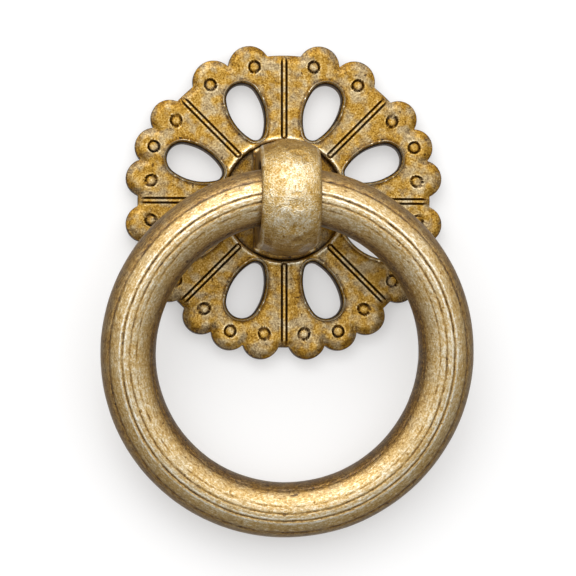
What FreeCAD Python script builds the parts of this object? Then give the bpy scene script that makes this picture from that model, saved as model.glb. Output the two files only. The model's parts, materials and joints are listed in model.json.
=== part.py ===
import FreeCAD, Part
import math
import os

# A ring pull for a drawer or cabinet front: a pierced rosette, an eye post and a closed ring, in cast brass.
# Lengths are millimetres and angles are degrees. +Z is up and the pull faces -Y.
# The origin is the middle of the rosette's back, where the axis of the fixing screw meets the drawer front.
# A depth is a distance from the drawer front, measured forwards, so it is minus Y.

# Ring
RING_OUTER_RADIUS = 25.0
BAR_RADIUS = 3.75
LINE_ANGLES = (16.0, 46.0)
LINE_WIDTH = 0.36
LINE_DEPTH = 0.17

# Eye post
PIVOT_DEPTH = 12.6
EYE_CLEARANCE = 0.3
EYE_WALL = 3.2
CROWN_WALL = 1.9
EYE_FLARE = 0.5
BODY_WIDTH = 8.0
BODY_EDGE_ROUND = 0.25
FOOT_WIDTH = 8.4
FOOT_LIP = 0.25
FOOT_HEIGHT = 1.9
NECK_HEIGHT = 0.6
NECK_RELIEF = 0.45
SPIGOT_RADIUS = 3.75
SPIGOT_WIDTH = 6.0
SPIGOT_SETBACK = 0.3
THREAD_CORE_RADIUS = 1.65
THREAD_END_WALL = 1.5
DRILL_POINT_ANGLE = 118.0

# Rosette
PLATE_THICKNESS = 2.2
SEAT_FLOOR = 1.3
SEAT_CLEARANCE = 0.1
SEAT_CHAMFER = 0.2
SPIGOT_CLEARANCE = 0.05
PETALS = 8
LOBES = 3
LOBE_RADIUS = 2.5
LOBE_STEP_ANGLE = 13.2
LOBE_RISE = 1.85
EDGE_SLOPE_WIDTH = 1.1
EDGE_SLOPE_DROP = 0.55

# The two petals beside the top groove have fewer and wider lobes
TOP_LOBES = 2
TOP_LOBE_RADIUS = 2.8
TOP_LOBE_STEP_ANGLE = 16.0

# Teardrop openings, one in each petal
OPENING_WEB = 0.95
OPENING_LENGTH = 8.0
OPENING_INNER_RADIUS = 1.1
OPENING_OUTER_RADIUS = 2.15
OPENING_SIDE_RADIUS = 7.0
BEAD_WIDTH = 0.5
BEAD_HEIGHT = 0.25
PETAL_BORDER = 4.57

# Ring-punched dots, three in each petal and two in a petal at the top
DOT_RADIUS = 0.88
DOT_VALLEY_RADIUS = 0.76
DOT_DISC_RADIUS = 0.56
DOT_DEPTH = 0.4
DOT_DISC_DROP = 0.15
MIDDLE_DOT_INSET = 2.5
SIDE_DOT_INSET = 3.4
SIDE_DOT_ANGLE = 14.0
TOP_DOT_INSET = 3.0
TOP_DOT_ANGLE = 10.0

# Pair of engraved lines between petals
GROOVE_WIDTH = 0.34
GROOVE_DEPTH = 0.4
GROOVE_SPACING = 0.62
GROOVE_END_WEB = 0.1

# How far a cutting shape runs past the metal that it cuts, and how near counts as touching
OVERRUN = 1.0
TOUCH = 0.001

# Sizes that follow from the ones above
ring_radius = RING_OUTER_RADIUS - BAR_RADIUS
half_body = BODY_WIDTH / 2
bar_sagitta = ring_radius - math.sqrt(ring_radius**2 - half_body**2)
eye_radius = BAR_RADIUS + bar_sagitta + EYE_CLEARANCE
lean_angle = math.degrees(math.asin((PIVOT_DEPTH - BAR_RADIUS) / (2 * ring_radius)))

body_radius = eye_radius + EYE_WALL
crown_depth = PIVOT_DEPTH + eye_radius + CROWN_WALL
dome_depth = crown_depth - body_radius
foot_radius = body_radius + FOOT_LIP
foot_depth = SEAT_FLOOR + FOOT_HEIGHT
neck_radius = body_radius - NECK_RELIEF
neck_depth = foot_depth + NECK_HEIGHT
shoulder_depth = neck_depth + NECK_RELIEF

drill_point_height = THREAD_CORE_RADIUS / math.tan(math.radians(DRILL_POINT_ANGLE / 2))
thread_end = PIVOT_DEPTH - eye_radius - THREAD_END_WALL - drill_point_height

seat_radius = foot_radius + SEAT_CLEARANCE
opening_start = seat_radius + OPENING_WEB
opening_end = opening_start + OPENING_LENGTH
petal_radius = opening_end + PETAL_BORDER
shoulder_radius = petal_radius - LOBE_RISE
petal_angle = 360.0 / PETALS

PULL_AXIS = FreeCAD.Vector(0, -1, 0)
ORIGIN = FreeCAD.Vector(0, 0, 0)


def at(x, depth, z):
    """A point given by its depth in front of the drawer."""
    return FreeCAD.Vector(x, -depth, z)


def disc(radius, near, far, x=0.0, z=0.0):
    """A round bar along the pull's axis, from one depth to another."""
    return Part.makeCylinder(radius, far - near, at(x, near, z), PULL_AXIS)


def cone(near_radius, far_radius, near, far, x=0.0, z=0.0):
    """A tapered bar along the pull's axis."""
    return Part.makeCone(near_radius, far_radius, far - near, at(x, near, z), PULL_AXIS)


def slab(width, near, far, reach):
    """A block centred on the axis, as wide as given and reaching the same way up and down."""
    corner = at(-width / 2, far, -reach)
    return Part.makeBox(width, far - near, 2 * reach, corner)


def turned(shape, angle):
    """A copy turned about the pull's axis."""
    copy = shape.copy()
    copy.rotate(ORIGIN, PULL_AXIS, angle)
    return copy


def polar(radius, angle):
    """The x and z of a point on the rosette, its angle counted from straight up."""
    turn = math.radians(angle)
    return radius * math.sin(turn), radius * math.cos(turn)


def petal_middles():
    return [(petal + 0.5) * petal_angle for petal in range(PETALS)]


def is_top(middle):
    """Whether the petal with this middle angle borders the groove that points straight up."""
    return min(middle, 360.0 - middle) < petal_angle


def lobe_angles(middle, count, step):
    return [middle + (lobe - (count - 1) / 2) * step for lobe in range(count)]


def lobes_of(middle):
    """The size and angle of each lobe of a petal."""
    if is_top(middle):
        angles = lobe_angles(middle, TOP_LOBES, TOP_LOBE_STEP_ANGLE)
        return [(TOP_LOBE_RADIUS, angle) for angle in angles]
    return [(LOBE_RADIUS, angle) for angle in lobe_angles(middle, LOBES, LOBE_STEP_ANGLE)]


def dots_of(middle):
    """The distance from the axis and the angle of each punched dot of a petal."""
    if is_top(middle):
        out = petal_radius - TOP_DOT_INSET
        return [(out, middle - TOP_DOT_ANGLE), (out, middle + TOP_DOT_ANGLE)]
    out = petal_radius - SIDE_DOT_INSET
    middle_dot = (petal_radius - MIDDLE_DOT_INSET, middle)
    return [(out, middle - SIDE_DOT_ANGLE), middle_dot, (out, middle + SIDE_DOT_ANGLE)]


def sloped_disc(radius, x=0.0, z=0.0):
    """A disc of plate with its front edge sloped off all round."""
    slope_start = PLATE_THICKNESS - EDGE_SLOPE_DROP
    wall = disc(radius, 0.0, slope_start, x, z)
    slope = cone(radius, radius - EDGE_SLOPE_WIDTH, slope_start, PLATE_THICKNESS, x, z)
    return wall.fuse(slope)


def scalloped_blank():
    """The rosette before piercing: a round plate with a row of overlapping round lobes."""
    lobes = []
    for middle in petal_middles():
        for radius, angle in lobes_of(middle):
            x, z = polar(petal_radius - radius, angle)
            lobes.append(sloped_disc(radius, x, z))
    return sloped_disc(shoulder_radius).fuse(lobes).removeSplitter()


def teardrop(margin, near, far):
    """The pierced opening straight up from the axis, grown by a margin all round.

    Its outline is four arcs that run into each other: a wide outer end, a narrow inner end and two long sides.
    """
    outer_z = opening_end - OPENING_OUTER_RADIUS
    inner_z = opening_start + OPENING_INNER_RADIUS
    to_outer = OPENING_SIDE_RADIUS - OPENING_OUTER_RADIUS
    to_inner = OPENING_SIDE_RADIUS - OPENING_INNER_RADIUS
    span = outer_z - inner_z
    side_z = (outer_z + inner_z) / 2 + (to_inner**2 - to_outer**2) / (2 * span)
    side_x = math.sqrt(to_outer**2 - (outer_z - side_z) ** 2)

    def on_side_arc(sign, end_z):
        centre = at(-sign * side_x, near, side_z)
        towards = at(0.0, near, end_z) - centre
        return centre + towards.normalize() * (OPENING_SIDE_RADIUS + margin)

    def side_arc(sign):
        centre = at(-sign * side_x, near, side_z)
        outer_point = on_side_arc(sign, outer_z)
        inner_point = on_side_arc(sign, inner_z)
        halfway = (outer_point + inner_point) * 0.5 - centre
        middle = centre + halfway.normalize() * (OPENING_SIDE_RADIUS + margin)
        return Part.Arc(inner_point, middle, outer_point).toShape()

    outer_tip = at(0.0, near, opening_end + margin)
    inner_tip = at(0.0, near, opening_start - margin)
    outer_arc = Part.Arc(on_side_arc(1, outer_z), outer_tip, on_side_arc(-1, outer_z)).toShape()
    inner_arc = Part.Arc(on_side_arc(1, inner_z), inner_tip, on_side_arc(-1, inner_z)).toShape()
    outline = Part.Wire(Part.__sortEdges__([side_arc(1), outer_arc, side_arc(-1), inner_arc]))
    return Part.Face(outline).extrude(PULL_AXIS * (far - near))


def dot_cutter(radius, angle):
    """A ring punch: it leaves a small disc inside a round valley."""
    x, z = polar(radius, angle)
    surface = PLATE_THICKNESS
    profile = [
        at(0.0, surface + OVERRUN, 0.0),
        at(DOT_RADIUS, surface + OVERRUN, 0.0),
        at(DOT_RADIUS, surface, 0.0),
        at(DOT_VALLEY_RADIUS, surface - DOT_DEPTH, 0.0),
        at(DOT_DISC_RADIUS, surface - DOT_DISC_DROP, 0.0),
        at(0.0, surface - DOT_DISC_DROP, 0.0),
    ]
    face = Part.Face(Part.makePolygon(profile + profile[:1]))
    cutter = face.revolve(ORIGIN, PULL_AXIS, 360)
    cutter.translate(FreeCAD.Vector(x, 0, z))
    return cutter


def groove_cutter():
    """A V cutter for a pair of lines that run straight up and are joined in a U near the seat."""
    half_width = GROOVE_WIDTH / 2
    half_spacing = GROOVE_SPACING / 2
    surface = PLATE_THICKNESS
    start = seat_radius + SEAT_CHAMFER + GROOVE_END_WEB + half_spacing + half_width

    def section(x):
        profile = [
            at(x, surface - GROOVE_DEPTH, start),
            at(x - half_width, surface, start),
            at(x - half_width, surface + OVERRUN, start),
            at(x + half_width, surface + OVERRUN, start),
            at(x + half_width, surface, start),
        ]
        return Part.Face(Part.makePolygon(profile + profile[:1]))

    way_out = FreeCAD.Vector(0, 0, petal_radius - start)
    lines = [section(x).extrude(way_out) for x in (-half_spacing, half_spacing)]
    end = section(half_spacing).revolve(at(0, 0, start), PULL_AXIS, -180)
    return end.fuse(lines)


def spigot_shape(clearance, near, far):
    """A round spigot with a flat each side, which stops the rosette turning on the post."""
    round_bar = disc(SPIGOT_RADIUS + clearance, near, far)
    return round_bar.common(slab(SPIGOT_WIDTH + 2 * clearance, near, far, SPIGOT_RADIUS + OVERRUN))


def seat_cutter():
    """The round sink for the post's foot, with a chamfered rim and a keyed hole through its floor."""
    rim_start = PLATE_THICKNESS - SEAT_CHAMFER
    top = PLATE_THICKNESS + OVERRUN
    sink = disc(seat_radius, SEAT_FLOOR, top)
    rim = cone(seat_radius, seat_radius + SEAT_CHAMFER + OVERRUN, rim_start, top)
    hole = spigot_shape(SPIGOT_CLEARANCE, -OVERRUN, SEAT_FLOOR + OVERRUN)
    return sink.fuse([rim, hole])


def make_backplate():
    """The rosette: eight pierced and lobed petals with beaded openings, engraved lines and punched dots."""
    bead = teardrop(BEAD_WIDTH, 0.0, PLATE_THICKNESS + BEAD_HEIGHT)
    opening = teardrop(0.0, -OVERRUN, PLATE_THICKNESS + OVERRUN)
    lines = groove_cutter()
    beads = []
    cutters = [seat_cutter()]
    for middle in petal_middles():
        beads.append(turned(bead, middle))
        cutters.append(turned(opening, middle))
        for radius, angle in dots_of(middle):
            cutters.append(dot_cutter(radius, angle))
        cutters.append(turned(lines, middle + petal_angle / 2))
    return scalloped_blank().fuse(beads).cut(cutters)


def post_profile():
    """Half of the turned post's outline, from the spigot's end to the crown."""
    lip_start = foot_depth - FOOT_LIP
    corner = math.sqrt(0.5)
    lip_middle = at(body_radius + FOOT_LIP * corner, lip_start + FOOT_LIP * corner, 0)
    shoulder_middle = at(neck_radius + NECK_RELIEF * corner, shoulder_depth - NECK_RELIEF * corner, 0)
    dome_middle = at(body_radius * corner, dome_depth + body_radius * corner, 0)

    def line(start, end):
        return Part.LineSegment(start, end).toShape()

    def arc(start, middle, end):
        return Part.Arc(start, middle, end).toShape()

    axis_start = at(0, SPIGOT_SETBACK, 0)
    spigot_edge = at(SPIGOT_RADIUS, SPIGOT_SETBACK, 0)
    spigot_root = at(SPIGOT_RADIUS, SEAT_FLOOR, 0)
    foot_back = at(foot_radius, SEAT_FLOOR, 0)
    foot_edge = at(foot_radius, lip_start, 0)
    lip_end = at(body_radius, foot_depth, 0)
    neck_foot = at(neck_radius, foot_depth, 0)
    neck_top = at(neck_radius, neck_depth, 0)
    shoulder_end = at(body_radius, shoulder_depth, 0)
    dome_start = at(body_radius, dome_depth, 0)
    crown = at(0, crown_depth, 0)
    edges = [
        line(axis_start, spigot_edge),
        line(spigot_edge, spigot_root),
        line(spigot_root, foot_back),
        line(foot_back, foot_edge),
        arc(foot_edge, lip_middle, lip_end),
        line(lip_end, neck_foot),
        line(neck_foot, neck_top),
        arc(neck_top, shoulder_middle, shoulder_end),
        line(shoulder_end, dome_start),
        arc(dome_start, dome_middle, crown),
        line(crown, axis_start),
    ]
    return Part.Face(Part.Wire(edges))


def rim_edges(body):
    """The long edges of the body's two flat sides, from the foot up and over the crown."""
    edges = []
    for edge in body.Edges:
        if edge.Degenerated:
            continue
        middle = edge.CenterOfMass
        on_flat_side = abs(abs(middle.x) - half_body) < TOUCH
        if on_flat_side and -middle.y > foot_depth + TOUCH:
            edges.append(edge)
    return edges


def make_post():
    """The eye post: turned, flattened on both sides, drilled for the ring and tapped from behind."""
    reach = foot_radius + OVERRUN
    post = post_profile().revolve(ORIGIN, PULL_AXIS, 360)
    spigot = spigot_shape(0.0, SPIGOT_SETBACK, SEAT_FLOOR)
    foot = post.common(slab(FOOT_WIDTH, SEAT_FLOOR, foot_depth, reach))
    body = post.common(slab(BODY_WIDTH, foot_depth, crown_depth + OVERRUN, reach)).Solids[0]
    body = body.makeFillet(min(BODY_EDGE_ROUND, NECK_RELIEF / 2), rim_edges(body))
    post = spigot.fuse([foot, body]).removeSplitter()
    return post.cut([eye_cutter(), thread_cutter()])


def eye_cutter():
    """The cross hole for the ring, flared at both mouths so that the curved bar can swing."""
    side = FreeCAD.Vector(1, 0, 0)
    flare_start = half_body - EYE_FLARE
    flare_length = EYE_FLARE + OVERRUN
    hole = Part.makeCylinder(
        eye_radius, BODY_WIDTH + 2 * OVERRUN, at(-half_body - OVERRUN, PIVOT_DEPTH, 0), side
    )
    mouths = []
    for sign in (-1, 1):
        start = at(sign * flare_start, PIVOT_DEPTH, 0)
        mouths.append(
            Part.makeCone(eye_radius, eye_radius + flare_length, flare_length, start, side * sign)
        )
    return hole.fuse(mouths)


def thread_cutter():
    """The blind screw hole on the axis, with the cone that a drill leaves at its end."""
    hole = disc(THREAD_CORE_RADIUS, SPIGOT_SETBACK - OVERRUN, thread_end)
    return hole.fuse(cone(THREAD_CORE_RADIUS, 0.0, thread_end, thread_end + drill_point_height))


def ring_section():
    """The bar's round section with fine turned lines either side of its crest, alike on both faces."""
    half_line = math.degrees(LINE_WIDTH / 2 / BAR_RADIUS)
    lines = sorted(
        (face + sign * angle) % 360 for face in (0, 180) for sign in (-1, 1) for angle in LINE_ANGLES
    )

    def on_bar(radius, angle):
        turn = math.radians(angle)
        return at(ring_radius + radius * math.sin(turn), PIVOT_DEPTH + radius * math.cos(turn), 0)

    edges = []
    for number, angle in enumerate(lines):
        following = lines[(number + 1) % len(lines)]
        if following <= angle:
            following += 360
        bottom = on_bar(BAR_RADIUS - LINE_DEPTH, angle)
        start = on_bar(BAR_RADIUS, angle + half_line)
        end = on_bar(BAR_RADIUS, following - half_line)
        middle = on_bar(BAR_RADIUS, (angle + following) / 2)
        next_bottom = on_bar(BAR_RADIUS - LINE_DEPTH, following)
        edges.append(Part.LineSegment(bottom, start).toShape())
        edges.append(Part.Arc(start, middle, end).toShape())
        edges.append(Part.LineSegment(end, next_bottom).toShape())
    return Part.Face(Part.Wire(Part.__sortEdges__(edges)))


def make_ring():
    """The closed ring through the eye, lying back until its lowest point meets the drawer front."""
    ring = ring_section().revolve(ORIGIN, PULL_AXIS, 360)
    ring.translate(FreeCAD.Vector(0, 0, -ring_radius))
    ring.rotate(at(0, PIVOT_DEPTH, 0), FreeCAD.Vector(1, 0, 0), lean_angle)
    return ring


def main():
    os.makedirs("parts", exist_ok=True)
    pieces = {
        "backplate": make_backplate(),
        "post": make_post(),
        "ring": make_ring(),
    }
    for name, shape in pieces.items():
        solid = shape.Solids[0]
        solid.exportStep("parts/" + name + ".step")
        box = solid.BoundBox
        print(
            name,
            "solids", len(shape.Solids),
            "valid", solid.isValid(),
            "volume", round(solid.Volume, 2),
            "x", round(box.XMin, 3), round(box.XMax, 3),
            "y", round(box.YMin, 3), round(box.YMax, 3),
            "z", round(box.ZMin, 3), round(box.ZMax, 3),
        )
    print("lean", round(lean_angle, 3), "eye radius", round(eye_radius, 3))
    print("petal radius", round(petal_radius, 3), "thread end", round(thread_end, 3))


main()
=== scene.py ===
# %% [markdown]
# # An antique brass ring pull
#
# The pull is three castings: a pierced rosette that lies against the drawer, an eye post in its middle, and
# a thick closed ring that hangs through the post's eye. This lesson gives each one a fine mesh that follows
# the engineering model, and then one family of aged brass finishes.
#
# Everything is worked out in millimetres, because that is how such hardware is drawn, and each finished
# mesh is brought to metres once, at its end.

import bmesh
import bpy
import json
import math
from mathutils import Matrix, Vector, noise


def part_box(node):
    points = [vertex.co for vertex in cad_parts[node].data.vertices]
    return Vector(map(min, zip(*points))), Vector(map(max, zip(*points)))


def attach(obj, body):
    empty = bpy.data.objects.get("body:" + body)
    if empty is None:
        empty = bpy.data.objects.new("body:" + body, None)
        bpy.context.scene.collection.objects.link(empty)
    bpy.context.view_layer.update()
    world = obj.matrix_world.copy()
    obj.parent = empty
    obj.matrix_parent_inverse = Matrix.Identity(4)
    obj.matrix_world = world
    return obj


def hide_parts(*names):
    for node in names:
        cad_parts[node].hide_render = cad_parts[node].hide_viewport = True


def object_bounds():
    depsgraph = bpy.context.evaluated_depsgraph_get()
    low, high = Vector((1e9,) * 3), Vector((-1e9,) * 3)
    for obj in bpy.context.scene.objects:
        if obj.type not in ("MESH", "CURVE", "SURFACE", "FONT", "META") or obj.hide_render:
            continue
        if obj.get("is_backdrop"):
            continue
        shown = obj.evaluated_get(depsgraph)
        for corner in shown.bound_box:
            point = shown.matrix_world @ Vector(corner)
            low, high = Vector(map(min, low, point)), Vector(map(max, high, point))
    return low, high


MILLIMETRE = 0.001

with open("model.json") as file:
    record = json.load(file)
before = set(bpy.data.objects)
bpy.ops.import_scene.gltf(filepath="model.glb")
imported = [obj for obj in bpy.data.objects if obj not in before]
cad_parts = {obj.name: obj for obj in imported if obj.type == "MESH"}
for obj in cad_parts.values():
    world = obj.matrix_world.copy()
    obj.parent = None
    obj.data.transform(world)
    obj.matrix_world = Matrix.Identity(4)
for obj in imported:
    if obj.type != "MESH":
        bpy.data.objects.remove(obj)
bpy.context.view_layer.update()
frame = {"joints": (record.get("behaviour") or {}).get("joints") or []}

# %% [markdown]
# The engineering model already fixes how wide the ring is, where it swings and how deep each piece is.
# Reading those sizes from it keeps the looks and the mechanism together. The bar's radius, the sizes of
# small ornament and those of what lies inside are given.

# %% Sizes taken from the model
_, ring_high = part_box("ring")
post_low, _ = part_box("post")
_, plate_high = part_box("backplate")

BAR_RADIUS = 3.75
pivot_depth = -frame["joints"][0]["pos_m"][1] / MILLIMETRE
ring_outer_radius = round(ring_high.x / MILLIMETRE, 1)
ring_radius = ring_outer_radius - BAR_RADIUS
lean = math.asin((pivot_depth - BAR_RADIUS) / (2 * ring_radius))
crown_depth = -post_low.y / MILLIMETRE
print("ring", ring_outer_radius, "pivot", pivot_depth, "crown", crown_depth)
print("lean in degrees", round(math.degrees(lean), 2))

# %% [markdown]
# A few small tools are shared by all the pieces. One gives a soft step between two values, one a strength
# that sets in softly, and one a small peak. Another slides a number on to the nearest of a few set values,
# which keeps an engraved line straight and a punched circle round, whatever mesh runs under it. Two give
# smooth random unevenness, in one layer or in several. The last two grow a row of faces from a loop of
# edges and turn a finished bmesh into a piece of the pull.

# %% Shared tools
WELD = 0.0005


def soft_step(low, high, value):
    t = min(1.0, max(0.0, (value - low) / (high - low)))
    return t * t * (3 - 2 * t)


def graded(grade, value):
    """A grade is a strength, the value where it is still nothing and the value where it is full."""
    strength, nothing_at, full_at = grade
    return strength * soft_step(nothing_at, full_at, value)


def peak(value, middle, half_width):
    """One at the middle, falling evenly to nothing at half the width."""
    return max(0.0, 1 - abs(value - middle) / half_width)


def snapped(value, levels, reach):
    nearest = min(levels, key=lambda level: abs(level - value))
    return nearest if abs(nearest - value) < reach else value


def lumps(point, size, seed):
    """A smooth random number from -1 to 1 that changes over about the given size."""
    return noise.noise(Vector((point[0] / size + seed, point[1] / size - seed, point[2] / size + seed)))


def layered(point, layers):
    """Layers of lumps on each other. A layer is its strength, size and seed."""
    return sum(strength * lumps(point, size, seed) for strength, size, seed in layers)


def extruded(bm, edges):
    """Grows a row of faces from some edges: all that is new, its points and its outer edges."""
    grown = bmesh.ops.extrude_edge_only(bm, edges=edges)["geom"]
    verts = [item for item in grown if isinstance(item, bmesh.types.BMVert)]
    new = set(verts)
    outer = [
        item for item in grown
        if isinstance(item, bmesh.types.BMEdge) and all(vert in new for vert in item.verts)
    ]
    return grown, verts, outer


def make_piece(bm, name, body, node, crease):
    bmesh.ops.remove_doubles(bm, verts=bm.verts, dist=WELD)
    bmesh.ops.recalc_face_normals(bm, faces=bm.faces)
    bmesh.ops.scale(bm, vec=(MILLIMETRE, MILLIMETRE, MILLIMETRE), verts=bm.verts)
    open_edges = sum(1 for edge in bm.edges if len(edge.link_faces) != 2)
    mesh = bpy.data.meshes.new(name)
    bm.to_mesh(mesh)
    bm.free()
    mesh.shade_smooth()
    mesh.set_sharp_from_angle(angle=math.radians(crease))
    piece = bpy.data.objects.new(name, mesh)
    bpy.context.scene.collection.objects.link(piece)
    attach(piece, body)
    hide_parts(node)
    triangles = sum(len(face.vertices) - 2 for face in mesh.polygons)
    print(name, "triangles", triangles, "edges without two faces", open_edges)
    return piece


# %% [markdown]
# ## The ring
#
# The ring is a round bar bent into a closed circle. Fine lines are turned into it on either side of its
# crest. Bending a curve would do, but a spin keeps the rings of faces true to the lathe lines. The section
# is a circle of many sides, spun once round. Then the lines are pressed in. They wander, and they are
# strong in one place and almost rubbed away in another. Each has a small raised lip on both sides, where
# the tool pushed the metal up.

# %% Spin the ring
# Degrees from the crest, outward being positive, and the width, depth, evenness and shine of lips of each line
TURNED_LINES = (
    (15.0, 0.34, 0.14, 0.9, 1.0),
    (-1.5, 0.36, 0.10, 0.7, 0.6),
    (-16.0, 0.30, 0.07, 0.35, 0.5),
    (46.0, 0.60, 0.12, 0.75, 0.2),
    (-54.0, 0.60, 0.10, 0.6, 0.0),
)
# Degrees, waves to a turn and phase
LINE_WANDER = ((0.48, 3, 0.0), (0.30, 7, 1.0))
LINE_WOBBLE = ((0.7, 3.0, 7.0), (0.6, 0.6, 11.0))
LINE_BREAKS = ((0.5, 1.3, 0.0), (0.5, 0.35, 3.0))
LINE_SPREAD = 5.0
LINE_FILL = 0.7
LIP_WIDTH = 0.38
LIP_HEIGHT = 0.02
SECTION_SIDES = 240
SWEEP_STEPS = 320

bm = bmesh.new()
section = bmesh.ops.create_circle(bm, segments=SECTION_SIDES, radius=BAR_RADIUS)["verts"]
bmesh.ops.translate(bm, vec=(ring_radius, 0, 0), verts=section)
bmesh.ops.spin(
    bm, geom=section + list(bm.edges), cent=(0, 0, 0), axis=(0, 1, 0), angle=math.tau,
    steps=SWEEP_STEPS, use_merge=True,
)


def line_at(section_angle, sweep):
    """The depth of the turned lines, their darkness and the height of their lips at a place on the bar."""
    wander = sum(size * math.sin(waves * sweep + phase) for size, waves, phase in LINE_WANDER)
    from_crest = math.degrees(math.asin(math.sin(section_angle)))
    depth = dark = lip = 0.0
    for number, (line, width, deepest, even, shine) in enumerate(TURNED_LINES):
        along = (math.sin(sweep) * ring_radius, math.cos(sweep) * ring_radius, number * LINE_SPREAD)
        degrees_away = abs(from_crest - line - wander - layered(along, LINE_WOBBLE))
        away = math.radians(degrees_away) * BAR_RADIUS
        if away > width / 2 + LIP_WIDTH:
            continue
        kept = min(1.0, max(0.0, even + layered(along, LINE_BREAKS)))
        strength = max(0.0, 1 - away / (width / 2)) * kept
        depth = max(depth, deepest * strength)
        dark = max(dark, strength**LINE_FILL)
        lip = max(lip, shine * kept * peak(away, width / 2 + LIP_WIDTH / 2, LIP_WIDTH / 2))
    return depth, dark, lip


# %% [markdown]
# Each point now goes to its final place on the bar, and it stores how brightly it is rubbed, how dark its
# patina is and where it lies along the turned grain. The crest is rubbed most, and the patina stays on both
# flanks and in the lines. The lips beside the lines are rubbed too, and painted brighter as highlights. How
# far round a point lies is told by the sine of its angle from the crest. The whole ring is set back by a
# hair, so that its bumps stay inside the model.

# %% Press in the lines
RING_UNEVEN = ((0.035, 6.0, 0.0), (0.012, 1.6, 5.0))
RING_SETBACK = 0.03
CREST_UNEVEN = ((0.05, 2.5, 8.0),)
CREST_RUB = (0.36, 0.66, 0.30)
# The lips are rubbed, and painted brighter still as highlights
LIP_RUB_AND_SHEEN = 1.25
OUTER_PATINA = (0.30, 0.55, 0.85)
INNER_PATINA = (0.45, 0.62, 0.85)
LINE_PATINA = 0.62
GRAIN_STRETCH = 2.4

wear_and_sheen = bm.verts.layers.float.new("wear_and_sheen")
grime_and_shade = bm.verts.layers.float.new("grime_and_shade")
turned = bm.verts.layers.float_vector.new("turned")
for vert in bm.verts:
    sweep = math.atan2(vert.co.x, -vert.co.z)
    outward = math.hypot(vert.co.x, vert.co.z) - ring_radius
    forward = -vert.co.y
    section_angle = math.atan2(outward, forward)
    depth, dark, lip = line_at(section_angle, sweep)
    uneven = layered(vert.co, RING_UNEVEN)
    radius = BAR_RADIUS - depth + LIP_HEIGHT * (lip - 1) + uneven - RING_SETBACK
    ring_way = Vector((math.sin(sweep), 0, -math.cos(sweep)))
    vert.co = ring_way * (ring_radius + radius * math.sin(section_angle))
    vert.co.y = -radius * math.cos(section_angle)
    flank = math.sin(section_angle)
    crest_rub = graded(CREST_RUB, abs(flank) + layered(vert.co, CREST_UNEVEN))
    vert[wear_and_sheen] = max(crest_rub, LIP_RUB_AND_SHEEN * lip) * (1 - dark)
    patina = graded(OUTER_PATINA if flank > 0 else INNER_PATINA, abs(flank))
    vert[grime_and_shade] = max(patina, LINE_PATINA * dark)
    vert[turned] = Vector((outward, forward, sweep * ring_radius / GRAIN_STRETCH)) * MILLIMETRE

pivot = Vector((0, -pivot_depth, 0))
bmesh.ops.translate(bm, vec=(0, -pivot_depth, -ring_radius), verts=bm.verts)
bmesh.ops.rotate(bm, cent=pivot, matrix=Matrix.Rotation(lean, 3, "X"), verts=bm.verts)
ring = make_piece(bm, "ring_fine", "ring", "ring", crease=60)

# %% [markdown]
# ## The eye post
#
# The post is turned to a round body with a domed end, filed flat on both sides, and drilled across for the
# ring. Cutting those shapes from each other would leave ragged faces where they meet. Instead one loop of
# edges travels round the metal: from the eye's mouth over the flat side, round the edge, across the crown,
# down the other side and back through the eye. Each stop is one extrusion, moved to where a simple formula
# puts it.

# %% Sizes of the post
HALF_BODY = 4.0
CROWN_WALL = 1.9
SIDE_WALL = 3.2
EYE_FLARE = 0.5
EDGE_ROUND = 0.40
FOOT_HALF_WIDTH = 4.2
FOOT_FRONT = 3.2
FOOT_LIP = 0.25
FOOT_CHAMFER = 0.1
SEAT_FLOOR = 1.3
NECK_FRONT = 3.8
NECK_RELIEF = 0.45
SPIGOT_RADIUS = 3.75
SPIGOT_HALF_WIDTH = 3.0
SPIGOT_SETBACK = 0.3
SPIGOT_CHAMFER = 0.25
THREAD_CORE = 1.65
THREAD_OUTER = 2.0
THREAD_PITCH = 0.7
THREAD_MOUTH_WIDENING, THREAD_MOUTH_DEPTH = 0.15, 0.35
THREAD_WALL = 2.5
DRILL_POINT_DEPTH, DRILL_POINT_RADIUS = 0.95, 0.05

eye_radius = crown_depth - CROWN_WALL - pivot_depth
body_radius = eye_radius + SIDE_WALL
dome_depth = crown_depth - body_radius
foot_radius = body_radius + FOOT_LIP
neck_radius = body_radius - NECK_RELIEF
thread_end = pivot_depth - eye_radius - THREAD_WALL
print("eye", round(eye_radius, 3), "body", round(body_radius, 3), "foot", round(foot_radius, 3))

# %% [markdown]
# The outline of one slice through the post runs from its base, up the neck and the straight side, round the
# dome and down again. A slice further from the middle is smaller, because the body is round.

# %% The slice outline
BASE_STEPS = 14
DOME_STEPS = 150
STRAIGHT_STEPS = 10
FIRST_LEVEL = 0.3
NECK_TURNS = [math.radians(angle) for angle in (22, 45, 67, 90)]

straight_start = NECK_FRONT + NECK_RELIEF
straight_length = dome_depth - straight_start
side_levels = [FOOT_FRONT, FOOT_FRONT + FIRST_LEVEL, NECK_FRONT]
side_levels += [NECK_FRONT + NECK_RELIEF * math.sin(turn) for turn in NECK_TURNS]
side_levels += [straight_start + straight_length * step / STRAIGHT_STEPS for step in range(1, STRAIGHT_STEPS)]


def side_radius(depth):
    """The turned body's radius at a depth below the dome."""
    above_neck = depth - NECK_FRONT
    if above_neck <= 0:
        return neck_radius
    if above_neck < NECK_RELIEF:
        return neck_radius + math.sqrt(NECK_RELIEF**2 - (NECK_RELIEF - above_neck) ** 2)
    return body_radius


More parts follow.
